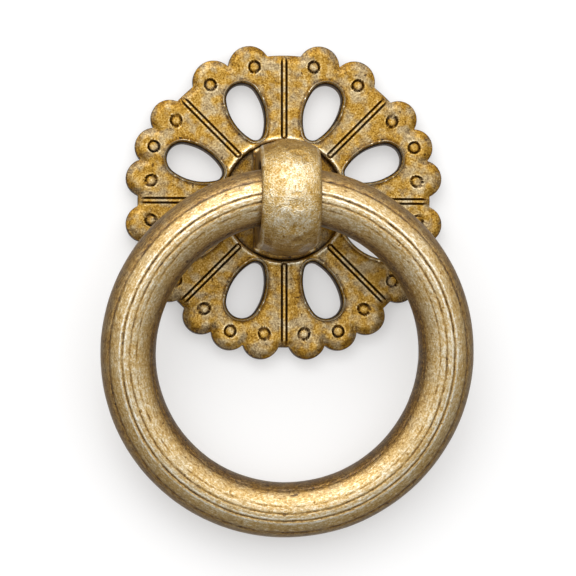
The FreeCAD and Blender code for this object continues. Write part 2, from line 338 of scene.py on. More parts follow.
def slice_outline(x, inset):
    """Depth and height of the points round one slice, closed along its base."""
    up = [(depth, math.sqrt(side_radius(depth) ** 2 - x * x) - inset) for depth in side_levels]
    dome = math.sqrt(body_radius**2 - x * x) - inset
    over = []
    for step in range(DOME_STEPS + 1):
        turn = math.pi / 2 - math.pi * step / DOME_STEPS
        over.append((dome_depth + dome * math.cos(turn), dome * math.sin(turn)))
    down = [(depth, -height) for depth, height in reversed(up)]
    base_height = up[0][1]
    base = [
        (FOOT_FRONT, -base_height + 2 * base_height * step / BASE_STEPS) for step in range(1, BASE_STEPS)
    ]
    return up + over + down + base


def eye_loop(radius, outline):
    """The same number of points round the eye, each in line with its partner on the outline."""
    points = []
    for depth, height in outline:
        away = math.hypot(depth - pivot_depth, height)
        points.append((pivot_depth + (depth - pivot_depth) / away * radius, height / away * radius))
    return points


# %% [markdown]
# The stops of the travelling loop are listed as pairs: the x of the slice, and the points on it. The eye's
# mouth is flared by a quarter round, and so is the edge between the flat side and the crown.

# %% Send the loop round the post
QUARTER = [math.radians(angle) for angle in (0, 22.5, 45, 67.5, 90)]
CROWN_STEPS = 44
FLAT_SHARES = (0.33, 0.66)


def post_stops():
    side = slice_outline(HALF_BODY, EDGE_ROUND)
    stops = []
    for turn in QUARTER:
        x = HALF_BODY - EYE_FLARE * (1 - math.sin(turn))
        stops.append((x, eye_loop(eye_radius + EYE_FLARE * (1 - math.cos(turn)), side)))
    mouth = stops[-1][1]
    for share in FLAT_SHARES:
        blend = [
            (a[0] + (b[0] - a[0]) * share, a[1] + (b[1] - a[1]) * share) for a, b in zip(mouth, side)
        ]
        stops.append((HALF_BODY, blend))
    for turn in QUARTER:
        x = HALF_BODY - EDGE_ROUND * (1 - math.cos(turn))
        stops.append((x, slice_outline(x, EDGE_ROUND * (1 - math.sin(turn)))))
    half_steps = CROWN_STEPS // 2
    for step in range(1, half_steps + 1):
        x = (HALF_BODY - EDGE_ROUND) * (1 - step / half_steps)
        stops.append((x, slice_outline(x, 0.0)))
    far_side = [(-x, points) for x, points in reversed(stops[:-1])]
    return stops + far_side


bm = bmesh.new()
stops = post_stops()
sides = len(stops[0][1])
spoke = bm.verts.layers.int.new("spoke")
wear_and_sheen = bm.verts.layers.float.new("wear_and_sheen")
grime_and_shade = bm.verts.layers.float.new("grime_and_shade")
first = bmesh.ops.create_circle(bm, segments=sides, radius=eye_radius)["verts"]
for number, vert in enumerate(first):
    vert[spoke] = number


def move_to_stop(verts, stop):
    x, points = stop
    for vert in verts:
        depth, height = points[vert[spoke]]
        vert.co = (x, -depth, height)


move_to_stop(first, stops[0])
edges = list(bm.edges)
for stop in stops[1:]:
    _, verts, edges = extruded(bm, edges)
    move_to_stop(verts, stop)
open_loops = [edge for edge in bm.edges if len(edge.link_faces) == 1]
bmesh.ops.bridge_loops(bm, edges=open_loops)
print("post body", len(bm.verts), "points in", len(stops), "loops")

# %% [markdown]
# Below the body come the foot, which sits in the rosette's sink, the keyed spigot that stops it turning,
# and the tapped hole. All are stacked loops: each is a circle with two flats, drawn in by its own half
# width.

# %% The foot, the spigot and the tapped hole
LOOP_SIDES = 96


def flatted_circle(radius, half_width):
    """Points round a circle that is cut off at half a width to the left and right."""
    quarter = LOOP_SIDES // 4
    corner = math.asin(half_width / radius) if half_width < radius else math.pi / 4
    reach = radius * math.sin(corner)
    points = []
    for quadrant in range(4):
        for step in range(quarter):
            share = 2 * step / quarter - 1
            if quadrant % 2 == 0:
                turn = share * corner
                point = Vector((radius * math.sin(turn), radius * math.cos(turn)))
            elif half_width < radius:
                rise = math.sqrt(radius**2 - reach**2)
                point = Vector((reach, -share * rise))
            else:
                turn = math.pi / 2 + share * (math.pi / 2 - corner)
                point = Vector((radius * math.sin(turn), radius * math.cos(turn)))
            points.append(-point if quadrant >= 2 else point)
    return points


def foot_stops():
    """Radius, half width between the flats and depth of each loop, from the foot to the drill's point."""
    stops = []
    for turn in QUARTER:
        radius = foot_radius - FOOT_LIP * (1 - math.sin(turn))
        depth = FOOT_FRONT - FOOT_LIP * (1 - math.cos(turn))
        stops.append((radius, FOOT_HALF_WIDTH, depth))
    stops.append((foot_radius, FOOT_HALF_WIDTH, SEAT_FLOOR + FOOT_CHAMFER))
    stops.append((foot_radius - FOOT_CHAMFER, FOOT_HALF_WIDTH - FOOT_CHAMFER, SEAT_FLOOR))
    stops.append((SPIGOT_RADIUS, SPIGOT_HALF_WIDTH, SEAT_FLOOR))
    stops.append((SPIGOT_RADIUS, SPIGOT_HALF_WIDTH, SPIGOT_SETBACK + SPIGOT_CHAMFER))
    stops.append((SPIGOT_RADIUS - SPIGOT_CHAMFER, SPIGOT_HALF_WIDTH - SPIGOT_CHAMFER, SPIGOT_SETBACK))
    stops.append((THREAD_OUTER + THREAD_MOUTH_WIDENING, SPIGOT_RADIUS, SPIGOT_SETBACK))
    depth = SPIGOT_SETBACK + THREAD_MOUTH_DEPTH
    while depth < thread_end - THREAD_PITCH:
        for radius, share in ((THREAD_CORE, 0.0), (THREAD_CORE, 0.25), (THREAD_OUTER, 0.6)):
            stops.append((radius, SPIGOT_RADIUS, depth + THREAD_PITCH * share))
        depth += THREAD_PITCH
    stops.append((THREAD_CORE, SPIGOT_RADIUS, depth))
    stops.append((THREAD_CORE, SPIGOT_RADIUS, thread_end))
    stops.append((DRILL_POINT_RADIUS, SPIGOT_RADIUS, thread_end + DRILL_POINT_DEPTH))
    return stops


def move_flatted(verts, stop):
    radius, half_width, depth = stop
    points = flatted_circle(radius, half_width)
    for vert in verts:
        point = points[vert[spoke]]
        vert.co = (point.x, -depth, point.y)


base_faces = [
    face for face in bm.faces if all(abs(vert.co.y + FOOT_FRONT) < WELD for vert in face.verts)
]
bmesh.ops.delete(bm, geom=base_faces, context="FACES")
body_rim = [edge for edge in bm.edges if len(edge.link_faces) == 1]
foot_front = bmesh.ops.create_circle(bm, segments=LOOP_SIDES, radius=foot_radius)["verts"]
for number, vert in enumerate(foot_front):
    vert[spoke] = number
first_stop, *later_stops = foot_stops()
move_flatted(foot_front, first_stop)
foot_rim = [edge for edge in bm.edges if not edge.link_faces]
edges = foot_rim
for stop in later_stops:
    _, verts, edges = extruded(bm, edges)
    move_flatted(verts, stop)
bmesh.ops.edgeloop_fill(bm, edges=edges)
bmesh.ops.bridge_loops(bm, edges=body_rim + foot_rim)
print("post with its foot", len(bm.verts), "points")

# %% [markdown]
# A cast post isn't perfectly smooth. Its crown is rubbed by hands and tumbled with other parts, which
# leaves wide shallow dents with faint creases between them. They are what breaks up the highlight, so they
# are in the mesh and not only in the finish. The folded noise, which turns back at zero, makes the creases.

# %% Dents, wear, patina, painted shade and painted highlights on the post
DENTS = ((0.05, 1.9, 3.0), (0.018, 0.6, 9.0))
CREASES = ((0.26, 1.5, 21.0), (0.30, 2.8, 31.0))
POST_SETBACK = 0.01
DENTS_START = 0.1
# By the distance beyond the eye's rim
OUTSIDE = (1.0, 1.2, 2.6)
BORE_PATINA = (1.0, 1.4, -0.1)
# By the depth
FRONT = (1.0, dome_depth - 1.0, crown_depth - 2.0)
LOW_PATINA = (0.35, dome_depth + 1.0, NECK_FRONT)
FLATS_END = (1.0, crown_depth - 1.0, dome_depth)
AT_FOOT = (1.0, FOOT_FRONT + 0.3, FOOT_FRONT + 0.05)
# Painted shade on the foot, which keeps its lit edge beside the body dark
FOOT_PAINTED_SHADE = 0.5
# By the height
PLAIN_RUB = 0.22
# The lower front is rubbed where fingers pull, and is also painted brighter to spread the crown's highlight
# down
LOWER_RUB_AND_SHEEN = (0.30, 2.5, -1.0)
# Painted shade: the dome darkens towards its top and its bottom, where its curve turns away from the light
TOP_PAINTED_SHADE = (0.34, 3.4, 6.2)
BOTTOM_PAINTED_SHADE = (0.38, -3.4, -6.2)
# By the distance from the middle plane, and along the rounded edge
# Painted shade on the flat sides, which lie in shadow
FLATS_PAINTED_SHADE = (0.7, HALF_BODY - 0.2, HALF_BODY)
EDGE_INSET, EDGE_HALF_WIDTH = 0.26, 0.3
EDGE_LINE = (1.0, 0.0, 0.6)
# The rounded edge is rubbed, and its line is painted brighter still as a highlight
EDGE_RUB_AND_SHEEN, EDGE_CLEANING = 1.4, 0.8
# By the fold of the first creases
CREASE_RUB = (1.0, 0.42, 0.02)
CROWN_RUB = 0.5

for vert in bm.verts:
    depth = -vert.co.y
    beyond_eye = math.hypot(depth - pivot_depth, vert.co.z) - eye_radius
    outside = graded(OUTSIDE, beyond_eye)
    if depth > FOOT_FRONT + DENTS_START:
        creases = sum(deepest * abs(lumps(vert.co, size, seed)) for deepest, size, seed in CREASES)
        way = Vector((0, -(depth - pivot_depth), vert.co.z)).normalized()
        vert.co += way * (layered(vert.co, DENTS) - creases - POST_SETBACK) * outside
    edge = graded(EDGE_LINE, peak(abs(vert.co.x), HALF_BODY - EDGE_INSET, EDGE_HALF_WIDTH))
    front = graded(FRONT, depth)
    worm = graded(CREASE_RUB, abs(lumps(vert.co, *CREASES[0][1:])))
    # Rub, with a painted highlight on the lower front and along the rounded edge
    rub_and_sheen = PLAIN_RUB + graded(LOWER_RUB_AND_SHEEN, vert.co.z)
    vert[wear_and_sheen] = max(EDGE_RUB_AND_SHEEN * edge, rub_and_sheen * (CROWN_RUB + worm) * front) * outside
    at_foot = graded(AT_FOOT, depth)
    # Patina, with painted shade on the dome's top and bottom, on the flats and on the foot
    patinas_and_shade = (
        graded(TOP_PAINTED_SHADE, vert.co.z),
        graded(BOTTOM_PAINTED_SHADE, vert.co.z),
        graded(LOW_PATINA, depth) * (1 - at_foot),
        FOOT_PAINTED_SHADE * at_foot,
        graded(FLATS_PAINTED_SHADE, abs(vert.co.x)) * graded(FLATS_END, depth),
        graded(BORE_PATINA, beyond_eye),
    )
    vert[grime_and_shade] = max(patinas_and_shade) * (1 - EDGE_CLEANING * edge * front)
post = make_piece(bm, "post_fine", "fixed", "post", crease=50)

# %% [markdown]
# ## The rosette
#
# The rosette is eight petals, each with one egg-shaped opening. Six of them have three lobes on the rim,
# and the two at the top have two wider ones. Between the petals two fine lines are engraved, and small
# rings are punched along the rim. A flat drawing of a petal comes first: loops run inward from the petal's
# edge until they meet the opening, so the mesh flows round the hole.

# %% Sizes of the rosette
PETALS = 8
THICKNESS = 2.2
SEAT_CLEARANCE = 0.1
SEAT_CHAMFER = 0.2
LOBE_RADIUS = 2.5
LOBE_STEP = math.radians(13.2)
LOBE_RISE = 1.85
TOP_LOBE_RADIUS = 2.8
TOP_LOBE_STEP = math.radians(16.0)
VALLEY_ROUND = 0.5
EDGE_SLOPE = 1.0
EDGE_DROP = 0.42
OPENING_WEB = 0.95
OPENING_LENGTH = 8.0
OPENING_INNER = 1.1
OPENING_OUTER = 2.15
OPENING_SIDE = 7.0
BEAD_WIDTH = 0.5
BEAD_HEIGHT = 0.25
BEAD_CREST = 0.38
CAST_DRAFT = 0.10
PETAL_BORDER = 4.57
DOT_LIP, DOT_VALLEY, DOT_DISC = 0.88, 0.74, 0.56
DOT_DEPTH, DOT_DROP = 0.4, 0.15
MIDDLE_DOT_INSET, SIDE_DOT_INSET, TOP_DOT_INSET = 2.5, 3.4, 3.0
SIDE_DOT_ANGLE, TOP_DOT_ANGLE = math.radians(14.0), math.radians(10.0)
GROOVE_WIDTH, GROOVE_DEPTH, GROOVE_SPACING = 0.34, 0.4, 0.62
GROOVE_END_WEB = 0.1

seat_radius = foot_radius + SEAT_CLEARANCE
opening_start = seat_radius + OPENING_WEB
opening_end = opening_start + OPENING_LENGTH
petal_radius = opening_end + PETAL_BORDER
shoulder_radius = petal_radius - LOBE_RISE
half_petal = math.pi / PETALS
groove_start = seat_radius + SEAT_CHAMFER + GROOVE_END_WEB + GROOVE_WIDTH / 2 + GROOVE_SPACING / 2


def out_along(radius, angle):
    """The point of a petal at a radius, an angle away from the petal's middle line."""
    return Vector((radius * math.sin(angle), radius * math.cos(angle)))


def lobes_of(top):
    """Middle and radius of each lobe on the rim of a petal."""
    if top:
        angles, radius = (-TOP_LOBE_STEP / 2, TOP_LOBE_STEP / 2), TOP_LOBE_RADIUS
    else:
        angles, radius = (-LOBE_STEP, 0.0, LOBE_STEP), LOBE_RADIUS
    return [(out_along(petal_radius - radius, angle), radius) for angle in angles]


def dots_of(top):
    """Middles of the rings punched in a petal."""
    if top:
        return [out_along(petal_radius - TOP_DOT_INSET, angle) for angle in (-TOP_DOT_ANGLE, TOP_DOT_ANGLE)]
    sides = [out_along(petal_radius - SIDE_DOT_INSET, angle) for angle in (-SIDE_DOT_ANGLE, SIDE_DOT_ANGLE)]
    return [out_along(petal_radius - MIDDLE_DOT_INSET, 0.0)] + sides


lobes = {top: lobes_of(top) for top in (False, True)}
dots = {top: dots_of(top) for top in (False, True)}
print("rosette radius", round(petal_radius, 2), "model", round(plate_high.z / MILLIMETRE, 2))

# %% [markdown]
# The opening is made of four arcs: a wide outer end, a narrow inner end and two long sides that run into
# them. Its signed distance says how far any point lies outside it, and both the mesh and the raised bead
# are laid out by it.

# %% The opening's outline
outer_end = Vector((0, opening_end - OPENING_OUTER))
inner_end = Vector((0, opening_start + OPENING_INNER))
to_outer = OPENING_SIDE - OPENING_OUTER
to_inner = OPENING_SIDE - OPENING_INNER
span = outer_end.y - inner_end.y
side_height = (outer_end.y + inner_end.y) / 2 + (to_inner**2 - to_outer**2) / (2 * span)
side_centre = Vector((-math.sqrt(to_outer**2 - (outer_end.y - side_height) ** 2), side_height))


def from_opening(point):
    """Distance outside the opening's rim, below zero inside it."""
    p = Vector((abs(point.x), point.y))
    ray = p - side_centre
    above = (outer_end - side_centre).cross(ray)
    below = (inner_end - side_centre).cross(ray)
    if above > 0:
        return (p - outer_end).length - OPENING_OUTER
    if below < 0:
        return (p - inner_end).length - OPENING_INNER
    return ray.length - OPENING_SIDE


def rim_point(towards):
    """Where the line from the opening's middle towards a point crosses the rim."""
    middle = Vector((0, side_height))
    near, far = 0.0, 1.0
    for _ in range(30):
        half = (near + far) / 2
        if from_opening(middle.lerp(towards, half)) < 0:
            near = half
        else:
            far = half
    return middle.lerp(towards, near)


def outline_radius(angle, top):
    """How far out the scalloped rim lies at an angle from the petal's middle."""
    radius = shoulder_radius
    for lobe, size in lobes[top]:
        away = Vector((math.sin(angle), math.cos(angle)))
        across = away.cross(lobe)
        if abs(across) < size:
            radius = max(radius, away.dot(lobe) + math.sqrt(size**2 - across**2))
    return radius


# %% [markdown]
# Most of the petal's points are spent on the scalloped rim, where the lobes and dots are, and few on the
# plain sides. The loops crowd together at the petal's edge, so that the engraved lines beside it stay
# crisp.

# %% Lay out one petal
RIM_STEPS = 132
SIDE_STEPS = 64
SEAT_STEPS = 12
EDGE_LOOPS = (0.0, 0.05, 0.09, 0.13, 0.19, 0.25, 0.31, 0.37, 0.43, 0.49, 0.54, 0.62, 0.75)
BEAD_LOOPS = (0.0, 0.06, 0.14, 0.22, 0.3, 0.38, 0.46, 0.54, 0.62, 0.75)
MIDDLE_LOOPS = 16
SIDE_CROWDING = 1.35
LEAST_MIDDLE = 0.6
PETAL_WELD = 0.002


def petal_border(top):
    """Points round the petal's border, clockwise from the middle of its inner end."""
    points = []
    for step in range(SEAT_STEPS // 2):
        a = half_petal * step / (SEAT_STEPS // 2)
        points.append((out_along(seat_radius, a), "seat"))
    for step in range(SIDE_STEPS):
        r = seat_radius + (shoulder_radius - seat_radius) * (step / SIDE_STEPS) ** SIDE_CROWDING
        points.append((out_along(r, half_petal), "side"))
    for step in range(RIM_STEPS + 1):
        a = half_petal * (1 - 2 * step / RIM_STEPS)
        points.append((out_along(outline_radius(a, top), a), "rim"))
    mirrored = [(Vector((-p.x, p.y)), kind) for p, kind in points[1:SEAT_STEPS // 2 + SIDE_STEPS]]
    return points + list(reversed(mirrored))


def spoke_shares(edge, rim, kind):
    """Shares along the way from the petal's edge to the opening at which the loops cross it."""
    length = (edge - rim).length
    if kind == "side":
        line = Vector((math.sin(half_petal), math.cos(half_petal)))
        length = abs(line.cross(Vector((abs(rim.x), rim.y))))
    squeeze = min(1.0, length / (EDGE_LOOPS[-1] + BEAD_LOOPS[-1] + LEAST_MIDDLE))
    start = [d * squeeze / length for d in EDGE_LOOPS]
    end = [1 - d * squeeze / length for d in reversed(BEAD_LOOPS)]
    gap = end[0] - start[-1]
    middle = [start[-1] + gap * step / (MIDDLE_LOOPS + 1) for step in range(1, MIDDLE_LOOPS + 1)]
    return start + middle + end


bm = bmesh.new()
spoke = bm.verts.layers.int.new("spoke")
wear_and_sheen = bm.verts.layers.float.new("wear_and_sheen")
grime_and_shade = bm.verts.layers.float.new("grime_and_shade")


def flat_petals(first_middle, count, top):
    """Draws a petal flat in loops and repeats it round the rosette."""
    border = petal_border(top)
    rims = [rim_point(point) for point, _ in border]
    shares = [spoke_shares(point, rim, kind) for (point, kind), rim in zip(border, rims)]

    def move_to_loop(verts, loop):
        for vert in verts:
            number = vert[spoke]
            place = border[number][0].lerp(rims[number], shares[number][loop])
            vert.co = (place.x, 0, place.y)

    verts = bmesh.ops.create_circle(bm, segments=len(border), radius=1.0)["verts"]
    for number, vert in enumerate(verts):
        vert[spoke] = number
    edges = list({edge for vert in verts for edge in vert.link_edges})
    move_to_loop(verts, 0)
    drawn = verts + edges
    for loop in range(1, len(shares[0])):
        grown, verts, edges = extruded(bm, edges)
        drawn += grown
        move_to_loop(verts, loop)
    drawn = list(set(drawn))
    petal_verts = [item for item in drawn if isinstance(item, bmesh.types.BMVert)]
    middle = Matrix.Rotation(first_middle, 3, "Y")
    bmesh.ops.rotate(bm, cent=(0, 0, 0), matrix=middle, verts=petal_verts)
    bmesh.ops.spin(
        bm, geom=drawn, cent=(0, 0, 0), axis=(0, 1, 0), angle=2 * half_petal * (count - 1), steps=count - 1,
        use_duplicate=True,
    )
    print("petals", count, "points", len(bm.verts), "loops to a petal", len(shares[0]))


flat_petals(3 * half_petal, 6, top=False)
flat_petals(-half_petal, 2, top=True)
bmesh.ops.remove_doubles(bm, verts=bm.verts, dist=PETAL_WELD)
print("flat rosette", len(bm.verts), "points")

# %% [markdown]
# The relief is then one height for each point. The rim is sloped off round every lobe, the opening has a
# raised bead, and the lines and dots are pressed in. The same features say how much dark patina a point
# holds and how bright it is rubbed, which the finish reads later. Painted shade darkens the sink's edge and
# the opening's mouth, and painted highlights brighten the bead and the punched rings' lips.

# %% Raise the relief
HUB_RIM_WIDTH = 1.0
HUB_RIM_HEIGHT = 0.18
RIM_PATINA, RIM_EDGE_PATINA = (0.32, 0.1, 0.5), (0.30, 0.85, 1.0)
BEAD_ROLL = 0.3
# Patina at the bead's foot, and painted shade at the opening's mouth where the wall turns down
BEAD_FOOT_PATINA, BEAD_MOUTH_PAINTED_SHADE = 0.55, (1.0, 0.24, 0.06)
# The bead's crown is rubbed, and painted brighter as a highlight
BEAD_RUB_AND_SHEEN = (1.0, 0.15, 0.65)
GROOVE_PATINA, GROOVE_RUB = 0.62, 0.35
GROOVE_KEPT = (1.0, shoulder_radius - 0.45, shoulder_radius - 0.9)
DOT_PATINA, DOT_RING = (0.7, 0.07, 0.2), (1.0, 0.36, 0.6)
# The punched rings' lips are rubbed, and painted brighter as highlights
DOT_LIP_RUB_AND_SHEEN, DISC_RUB = 0.5, (0.25, 0.5, 0.2)
# Painted shade in the corner at the sink's edge
SINK_PAINTED_SHADE, PLAIN_PATINA, HUB_RUB = (0.8, 0.3, 0.0), 0.2, 0.8
ROSETTE_UNEVEN = ((0.03, 3.0, 2.0), (0.018, 0.9, 7.0))
ROSETTE_SETBACK = 0.02
GROOVE_LEVELS = (
    GROOVE_SPACING / 2 - GROOVE_WIDTH / 2, GROOVE_SPACING / 2, GROOVE_SPACING / 2 + GROOVE_WIDTH / 2,
)


def in_petal(x, z):
    """The point in the nearest petal's own frame, the turn that does it, and whether it is a top petal."""
    angle = math.atan2(x, z)
    middle = (math.floor(angle / (2 * half_petal)) + 0.5) * 2 * half_petal
    c, s = math.cos(middle), math.sin(middle)
    return Vector((x * c - z * s, x * s + z * c)), middle, abs(middle) < 2 * half_petal


def beside_line(point):
    """Distances from the line between two petals and along it, and the directions across and along."""
    side = 1 if point.x >= 0 else -1
    line = Vector((side * math.sin(half_petal), math.cos(half_petal)))
    across = Vector((-side * math.cos(half_petal), math.sin(half_petal)))
    return point.dot(across), point.dot(line), across, line


def straightened(point, top):
    """The point slid sideways on to an engraved line or a punched circle that passes close by."""
    away, along, across, line = beside_line(point)
    if away < 0.6 and along > groove_start:
        point = line * along + across * snapped(away, GROOVE_LEVELS, 0.035)
    for dot in dots[top]:
        reach = (point - dot).length
        if 0.4 < reach < 1.0:
            point = dot + (point - dot) * (snapped(reach, (DOT_DISC, DOT_VALLEY, DOT_LIP), 0.05) / reach)
    return point


def rim_relief(point, top):
    """The slope round the lobes: how far it drops, its patina and its rub."""
    depths = [shoulder_radius - point.length] + [size - (point - lobe).length for lobe, size in lobes[top]]
    second, inside = sorted(depths)[-2:]
    inside += max(0.0, 1 - (inside - second) / VALLEY_ROUND) ** 2 * VALLEY_ROUND / 4
    slope = max(0.0, 1 - max(0.0, inside) / EDGE_SLOPE)
    drop = EDGE_DROP * slope**1.2
    dark = graded(RIM_PATINA, slope) + graded(RIM_EDGE_PATINA, slope)
    bright = 0.15 * peak(slope, 0.08, 0.15)
    return drop, dark, bright


def bead_relief(point):
    """The bead round the opening: height, patina with painted shade, rub with a painted highlight."""
    beyond = max(0.0, from_opening(point))
    crown = soft_step(0, 1, peak(beyond, BEAD_CREST, BEAD_WIDTH - BEAD_CREST))
    worn_off = (1 - min(1.0, beyond / BEAD_CREST)) ** 2
    foot = peak(beyond, BEAD_WIDTH + 0.12, 0.3)
    dark = max(BEAD_FOOT_PATINA * foot, graded(BEAD_MOUTH_PAINTED_SHADE, beyond))
    return BEAD_HEIGHT * crown - BEAD_ROLL * worn_off, dark, graded(BEAD_RUB_AND_SHEEN, crown)


def groove_relief(point):
    """The two engraved lines, which join in a round end beside the sink and run out before the rim."""
    away, along, _, _ = beside_line(point)
    if along < groove_start:
        away = math.hypot(away, along - groove_start)
    from_line = abs(away - GROOVE_SPACING / 2)
    kept = graded(GROOVE_KEPT, along)
    groove = peak(from_line, 0.0, GROOVE_WIDTH / 2) * kept
    lip = max(peak(from_line, GROOVE_WIDTH / 2 + 0.10, 0.16), peak(away, 0.0, 0.12)) * kept
    return GROOVE_DEPTH * groove, GROOVE_PATINA * groove**0.6, lip


def dot_relief(point, top):
    """The punched rings: a round valley with a low disc left standing in its middle."""
    drop = dark = bright = 0.0
    for dot in dots[top]:
        reach = (point - dot).length
        if reach > DOT_LIP + 0.25:
            continue
        if reach < DOT_DISC:
            drop = DOT_DROP
        elif reach < DOT_VALLEY:
            drop = DOT_DROP + (DOT_DEPTH - DOT_DROP) * (reach - DOT_DISC) / (DOT_VALLEY - DOT_DISC)
        else:
            drop = DOT_DEPTH * max(0.0, 1 - (reach - DOT_VALLEY) / (DOT_LIP - DOT_VALLEY))
        dark = graded(DOT_PATINA, drop) * graded(DOT_RING, reach)
        bright = max(DOT_LIP_RUB_AND_SHEEN * peak(reach, DOT_LIP + 0.1, 0.15), graded(DISC_RUB, reach))
    return drop, dark, bright


def relief(point, top):
    """Height above the back, patina with painted shade, and rub with painted highlights at a point of a petal.
    """
    slope_drop, slope_dark, slope_bright = rim_relief(point, top)
    bead, bead_dark, bead_bright = bead_relief(point)
    groove_drop, groove_dark, groove_bright = groove_relief(point)
    dot_drop, dot_dark, dot_bright = dot_relief(point, top)
    from_sink = point.length - seat_radius
    chamfer = max(0.0, 1 - from_sink / SEAT_CHAMFER)
    hub = soft_step(0, 1, peak(from_sink, HUB_RIM_WIDTH / 2, HUB_RIM_WIDTH / 2))
    height = THICKNESS - slope_drop + bead - groove_drop - dot_drop
    height += HUB_RIM_HEIGHT * hub * (1 - groove_dark) - SEAT_CHAMFER * chamfer
    # Painted shade at the sink's edge
    sink_shade = graded(SINK_PAINTED_SHADE, from_sink)
    bright = max(slope_bright, bead_bright, GROOVE_RUB * groove_bright, dot_bright, HUB_RUB * hub)
    dark = max(PLAIN_PATINA * (1 - bright), slope_dark, bead_dark, groove_dark, dot_dark, sink_shade)
    return height, min(1.0, dark), bright * (1 - max(groove_dark, dot_dark))


for vert in bm.verts:
    point, middle, top = in_petal(vert.co.x, vert.co.z)
    point = straightened(point, top)
    height, dark, bright = relief(point, top)
    c, s = math.cos(middle), math.sin(middle)
    x, z = point.x * c + point.y * s, -point.x * s + point.y * c
    uneven = layered((x, 0, z), ROSETTE_UNEVEN) - ROSETTE_SETBACK
    vert.co = (x, -(height + uneven), z)
    vert[wear_and_sheen] = bright
    vert[grime_and_shade] = dark

# %% [markdown]
# The flat drawing is now a relief with open edges. Those of the rim and the openings are drawn back to the
# drawer front. A casting needs draft to leave its mould, so an opening is a little narrower at the back.
# The walls are painted dark as shade, so an opening's wall shows as a thin dark line. The seat's edge goes
# down to the seat floor, in to the keyed hole, and through. One fill closes the back.

# %% Close the walls and the back
# Painted shade on the walls of the rim and the openings; patina on the sink floor and the keyed hole
WALL_PAINTED_SHADE, FLOOR_PATINA = 0.62, 0.3
FLOOR_SHARE = 0.94
KEY_CLEARANCE = 0.05


def loop_on(bm, test):
    return [
        edge for edge in bm.edges
        if len(edge.link_faces) == 1 and all(test(vert.co) for vert in edge.verts)
    ]


def drawn_back(bm, edges, place, patina=WALL_PAINTED_SHADE):
    """Extrudes open edges and puts each new point where place says."""
    _, verts, outer = extruded(bm, edges)
    for vert in verts:
        vert.co = place(vert.co)
        vert[wear_and_sheen] = 0.0
        # Painted shade on the walls, patina on the floor
        vert[grime_and_shade] = patina
    return outer


def hole_point(co):
    """The keyed hole's edge in the same direction from the axis."""
    way = Vector((co.x, co.z)).normalized()
    radius = SPIGOT_RADIUS + KEY_CLEARANCE
    half_width = SPIGOT_HALF_WIDTH + KEY_CLEARANCE
    if abs(way.x) * radius > half_width:
        radius = half_width / abs(way.x)
    return way * radius


def drafted(co, share):
    """A wall point at a share of its depth; in an opening the casting's draft also moves it inward."""
    point, middle, _ = in_petal(co.x, co.z)
    if from_opening(point) < 0.1:
        point += (Vector((0, side_height)) - point).normalized() * CAST_DRAFT / 2
    c, s = math.cos(middle), math.sin(middle)
    return Vector((point.x * c + point.y * s, co.y * share, -point.x * s + point.y * c))


def on_floor(place):
    return Vector((place.x, -SEAT_FLOOR, place.y))


def is_seat(co):
    return math.hypot(co.x, co.z) < seat_radius + 0.05


seat_edges = loop_on(bm, is_seat)
wall_edges = loop_on(bm, lambda co: not is_seat(co))
half_way = drawn_back(bm, wall_edges, lambda co: drafted(co, 0.5))
back_edges = drawn_back(bm, half_way, lambda co: drafted(co, 0.0))
floor_edges = drawn_back(bm, seat_edges, lambda co: Vector((co.x, -SEAT_FLOOR, co.z)))
inner = drawn_back(bm, floor_edges, lambda co: on_floor(Vector((co.x, co.z)) * FLOOR_SHARE), FLOOR_PATINA)
hole_edges = drawn_back(bm, inner, lambda co: on_floor(hole_point(co)), FLOOR_PATINA)
back_edges += drawn_back(bm, hole_edges, lambda co: Vector((co.x, 0, co.z)))
bmesh.ops.triangle_fill(bm, edges=back_edges, use_beauty=True)
plate = make_piece(bm, "backplate_fine", "fixed", "backplate", crease=50)

# %% [markdown]
# ## The finish
#
# Antique brass is dipped to darken it and then rubbed, so it is bright where a cloth reaches and brown
# where it doesn't. One node group makes that colour for all three pieces. It mixes blotches, a fine grain
# and the patina and rub stored on the mesh into a single tone, from dark to pale, and reads the colour from
# the tone. The stored patina also carries painted shade, and the stored rub painted highlights. Where the
# dip bit deeper the brass has gone grey, which is a second, softer mask that takes some of the colour away.

# %% The aged brass group
def socket(group, name, kind, way, value=None):
    made = group.interface.new_socket(name=name, in_out=way, socket_type=kind)
    if value is not None:
        made.default_value = value
    return made


def maths(tree, operation, *values):
    """A math node fed by numbers and by other nodes' outputs."""
    node = tree.nodes.new("ShaderNodeMath")
    node.operation = operation
    for index, value in enumerate(values):
        if isinstance(value, (int, float)):
            node.inputs[index].default_value = value
        else:
            tree.links.new(value, node.inputs[index])
    return node.outputs[0]


def spread(tree, value, from_low, from_high, to_low, to_high):
    """A value moved from one range to another and held inside it."""
    node = tree.nodes.new("ShaderNodeMapRange")
    limits = (("From Min", from_low), ("From Max", from_high), ("To Min", to_low), ("To Max", to_high))
    for name, limit in limits:
        node.inputs[name].default_value = limit
    tree.links.new(value, node.inputs["Value"])
    return node.outputs["Result"]


def speckle(tree, place, scale, detail, rough):
    """Noise at a place, near a half and seldom under a quarter or over three."""
    node = tree.nodes.new("ShaderNodeTexNoise")
    node.inputs["Scale"].default_value = scale
    node.inputs["Detail"].default_value = detail
    node.inputs["Roughness"].default_value = rough
    tree.links.new(place, node.inputs["Vector"])
    return node.outputs["Fac"]


CLOUD_STRENGTH, SPECK_STRENGTH = 0.15, 0.5
# Painted shade rides on the patina, and painted highlights on the rub
RUB_AND_SHEEN_GAIN, PATINA_AND_SHADE_LOSS = 0.38, 0.62
GREY_HUE_SHIFT = 0.03
